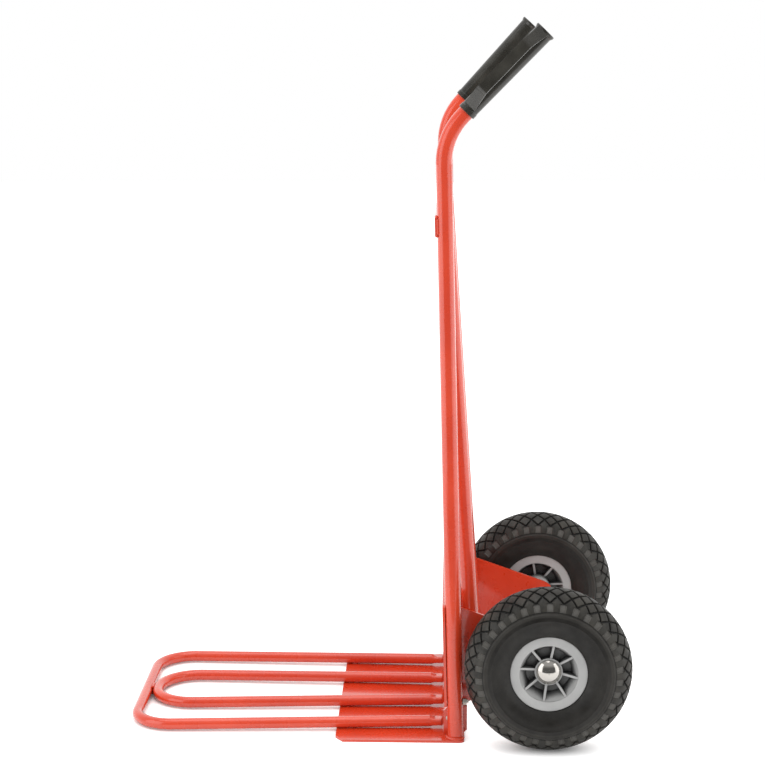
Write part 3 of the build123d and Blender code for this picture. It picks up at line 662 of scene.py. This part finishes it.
def buildFloor():
    half, front = studio["floorHalf"], studio["floorFront"]
    mesh = bpy.data.meshes.new("studioFloor")
    sheet = [(-half, -half, 0), (front, -half, 0), (front, half, 0), (-half, half, 0)]
    mesh.from_pydata(sheet, [], [(0, 1, 2, 3)])
    floor = bpy.data.objects.new("studioFloor", mesh)
    bpy.context.scene.collection.objects.link(floor)
    mat, tree, shader = startMaterial("studioFloor")
    shader.inputs["Base Color"].default_value = (*studio["floorColour"], 1.0)
    shader.inputs["Roughness"].default_value = studio["floorRough"]
    shader.inputs["Specular IOR Level"].default_value = studio["floorShine"]
    rays = tree.nodes.new("ShaderNodeLightPath")
    coord = tree.nodes.new("ShaderNodeTexCoord")
    away = tree.nodes.new("ShaderNodeVectorMath")
    away.operation = "LENGTH"
    tree.links.new(coord.outputs["Object"], away.inputs[0])
    # painted contact shadow: the floor's glow dims by ambient occlusion close to the truck
    bare = openSky(tree, studio["contactReach"], studio["contactSpan"], studio["contactSamples"])
    contactShadow = spanned(tree, bare, studio["contactShade"], 1.0, 0.0, 1.0)
    seen = spanned(tree, away.outputs["Value"], *studio["floorLift"], *studio["liftReach"])
    seen = calc(tree, "MULTIPLY", seen, rays.outputs["Is Camera Ray"])
    mirrored = spanned(tree, away.outputs["Value"], *studio["shineLift"], *studio["liftReach"])
    mirrored = calc(tree, "MULTIPLY", mirrored, rays.outputs["Is Glossy Ray"])
    lift = calc(tree, "MULTIPLY", calc(tree, "ADD", seen, mirrored), contactShadow)
    shader.inputs["Emission Color"].default_value = (1.0, 1.0, 1.0, 1.0)
    tree.links.new(lift, shader.inputs["Emission Strength"])
    mesh.materials.append(mat)


def buildSky():
    world = bpy.data.worlds.new("studioSky")
    bpy.context.scene.world = world
    world.use_nodes = True
    tree = world.node_tree
    tree.nodes.clear()
    out = tree.nodes.new("ShaderNodeOutputWorld")
    coord = tree.nodes.new("ShaderNodeTexCoord")
    split = tree.nodes.new("ShaderNodeSeparateXYZ")
    tree.links.new(coord.outputs["Generated"], split.inputs["Vector"])
    rays = tree.nodes.new("ShaderNodeLightPath")
    shine = tree.nodes.new("ShaderNodeMix")
    tree.links.new(rays.outputs["Is Glossy Ray"], shine.inputs["Factor"])
    for k, socket in enumerate((shine.inputs["A"], shine.inputs["B"])):
        back, front = studio["skyBack"][k], studio["skyFront"][k]
        fade = spanned(tree, split.outputs["X"], back, front, *studio["skySpan"])
        above = spanned(tree, split.outputs["Z"], 0.0, studio["ceiling"], *studio["ceilingSpan"])
        tree.links.new(calc(tree, "MAXIMUM", fade, above), socket)
    room = tree.nodes.new("ShaderNodeBackground")
    room.inputs["Color"].default_value = (1.0, 1.0, 1.0, 1.0)
    tree.links.new(shine.outputs["Result"], room.inputs["Strength"])
    white = tree.nodes.new("ShaderNodeBackground")
    white.inputs["Color"].default_value = (1.0, 1.0, 1.0, 1.0)
    white.inputs["Strength"].default_value = 1.0
    mix = tree.nodes.new("ShaderNodeMixShader")
    tree.links.new(rays.outputs["Is Camera Ray"], mix.inputs["Fac"])
    tree.links.new(room.outputs[0], mix.inputs[1])
    tree.links.new(white.outputs[0], mix.inputs[2])
    tree.links.new(mix.outputs[0], out.inputs["Surface"])


def hangBoxes():
    for box in studio["boxes"]:
        data = bpy.data.lights.new(box["name"], "AREA")
        data.shape = "RECTANGLE"
        data.size, data.size_y = box["size"]
        data.energy = box["power"]
        lamp = bpy.data.objects.new(box["name"], data)
        lamp.location = box["place"]
        aim = Vector(studio["aim"]) - Vector(box["place"])
        lamp.rotation_euler = aim.to_track_quat("-Z", "Y").to_euler()
        bpy.context.scene.collection.objects.link(lamp)


buildFloor()
buildSky()
hangBoxes()
print("studio lit")
